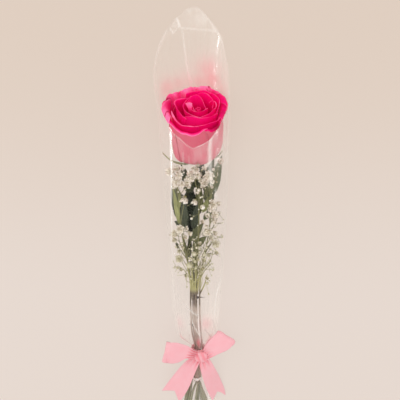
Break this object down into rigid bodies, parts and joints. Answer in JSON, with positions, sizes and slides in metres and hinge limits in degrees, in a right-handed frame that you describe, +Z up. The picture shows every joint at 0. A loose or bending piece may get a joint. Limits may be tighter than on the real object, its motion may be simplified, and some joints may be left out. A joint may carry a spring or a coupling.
{
  "type": "wrapped single rose",
  "caption": "Cut pink rose with baby's breath in a clear film sleeve, gathered and tied with a satin ribbon bow, lying on its back.",
  "frame": {"origin": "centre of the bounding box on the surface that the part lies on", "axes": "+Y along the flower towards the bloom and the film's open mouth, +Z up from the surface, the bow on top"},
  "size_m": [0.0854, 0.477, 0.0696],
  "materials": {
    "petal": "soft velvety rose petal, hot pink",
    "calyx": "matte green sepal",
    "stem": "smooth brown-green woody stem",
    "band": "matte white elastic",
    "leaf": "waxy dark green leaf",
    "spray": "matte white florets on thin green twigs",
    "film": "clear glossy cellophane",
    "ribbon": "pale pink satin"
  },
  "bodies": {
    "root": {"bloom": "petal", "calyx": "calyx", "stem": "stem", "stem_band": "band", "leaf_left": "leaf", "leaf_right": "leaf", "leaf_front": "leaf", "spray_left": "spray", "spray_centre": "spray", "spray_right": "spray", "sleeve": "film", "bow": "ribbon"}
  },
  "joints": []
}
